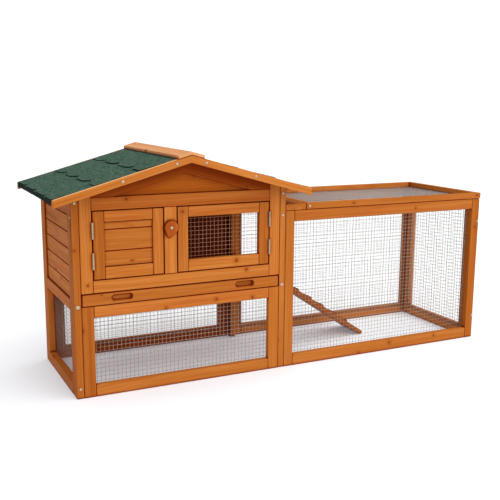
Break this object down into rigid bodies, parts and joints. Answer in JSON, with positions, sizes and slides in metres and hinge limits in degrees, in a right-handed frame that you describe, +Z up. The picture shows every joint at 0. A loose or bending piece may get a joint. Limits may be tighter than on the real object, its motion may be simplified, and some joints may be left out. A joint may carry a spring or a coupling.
{
  "type": "rabbit hutch",
  "caption": "Two-storey timber rabbit hutch with a pitched felt roof, hinged doors, pull-out tray, ramp and a mesh run with a hinged lid.",
  "frame": {"origin": "on the ground, under the middle of the whole hutch's bounding box", "axes": "+Z up; +X along the hutch from the house towards the run's far end; +Y from the door side to the back"},
  "size_m": [1.5284, 0.5198, 0.7084],
  "materials": {
    "stained_fir": "honey orange stain, satin",
    "ridge_timber": "lighter stain, satin",
    "button_timber": "red-brown stain, satin",
    "plywood": "stained plywood, matte",
    "roof_felt": "green mineral granules, matte",
    "galvanised_mesh": "galvanised",
    "hinge_steel": "zinc plated",
    "zinc_fastener": "zinc plated, satin"
  },
  "bodies": {
    "hutch": {"left_wall_stiles": "stained_fir", "left_wall_rails": "stained_fir", "left_wall_boards": "stained_fir", "left_wall_mesh": "galvanised_mesh", "right_wall_posts": "stained_fir", "right_wall_rails": "stained_fir", "right_wall_boards": "stained_fir", "lower_front_stiles": "stained_fir", "lower_front_rails": "stained_fir", "lower_front_mesh": "galvanised_mesh", "upper_front_stiles": "stained_fir", "upper_front_rails": "stained_fir", "gable_boards": "stained_fir", "gable_battens": "stained_fir", "back_wall_stiles": "stained_fir", "back_wall_rails": "stained_fir", "back_wall_boards": "stained_fir", "back_wall_mesh": "galvanised_mesh", "tray_runners": "stained_fir", "roof_deck_left": "plywood", "roof_deck_right": "plywood", "roof_felt_left": "roof_felt", "roof_felt_right": "roof_felt", "bargeboards": "stained_fir", "ridge_cap": "ridge_timber", "roof_screws": "zinc_fastener", "frame_bolts": "zinc_fastener", "run_front_stiles": "stained_fir", "run_front_rails": "stained_fir", "run_front_mesh": "galvanised_mesh", "run_back_stiles": "stained_fir", "run_back_rails": "stained_fir", "run_back_mesh": "galvanised_mesh", "run_end_stiles": "stained_fir", "run_end_rails": "stained_fir", "run_end_mesh": "galvanised_mesh", "run_top_board": "stained_fir", "fixed_hinge_leaves": "hinge_steel", "hinge_pins": "hinge_steel", "turn_button_screw": "zinc_fastener"},
    "left_door": {"left_door_stiles": "stained_fir", "left_door_rails": "stained_fir", "left_door_boards": "stained_fir", "left_door_leaves": "hinge_steel"},
    "right_door": {"right_door_stiles": "stained_fir", "right_door_rails": "stained_fir", "right_door_mesh": "galvanised_mesh", "right_door_leaves": "hinge_steel"},
    "turn_button": {"turn_button": "button_timber"},
    "tray": {"tray_front": "stained_fir", "tray_base": "plywood", "tray_rims": "stained_fir"},
    "lid": {"lid_long_rails": "stained_fir", "lid_short_rails": "stained_fir", "lid_mesh": "galvanised_mesh", "lid_leaves": "hinge_steel", "lid_screw": "zinc_fastener"},
    "ramp": {"ramp_board": "stained_fir", "ramp_cleats": "stained_fir", "ramp_leaf": "hinge_steel"}
  },
  "joints": [
    {"name": "left_door_hinge", "type": "hinge", "parent": "hutch", "child": "left_door", "pos_m": [-0.64535, -0.2056, 0.446], "axis": [0, 0, -1], "range_deg": [0, 110]},
    {"name": "right_door_hinge", "type": "hinge", "parent": "hutch", "child": "right_door", "pos_m": [-0.08635, -0.2056, 0.446], "axis": [0, 0, 1], "range_deg": [0, 110]},
    {"name": "turn_button_spin", "type": "hinge", "parent": "hutch", "child": "turn_button", "pos_m": [-0.412, -0.2075, 0.485], "axis": [0, -1, 0], "range_deg": [-90, 90]},
    {"name": "tray_slide", "type": "slide", "parent": "hutch", "child": "tray", "axis": [0, -1, 0], "range_m": [0, 0.3]},
    {"name": "lid_hinge", "type": "hinge", "parent": "hutch", "child": "lid", "pos_m": [0.39615, 0.2057, 0.5124], "axis": [-1, 0, 0], "range_deg": [0, 100]},
    {"name": "ramp_hinge", "type": "hinge", "parent": "hutch", "child": "ramp", "pos_m": [-0.02445, 0.0515, 0.284], "axis": [0, -1, 0], "range_deg": [0, 55]}
  ]
}
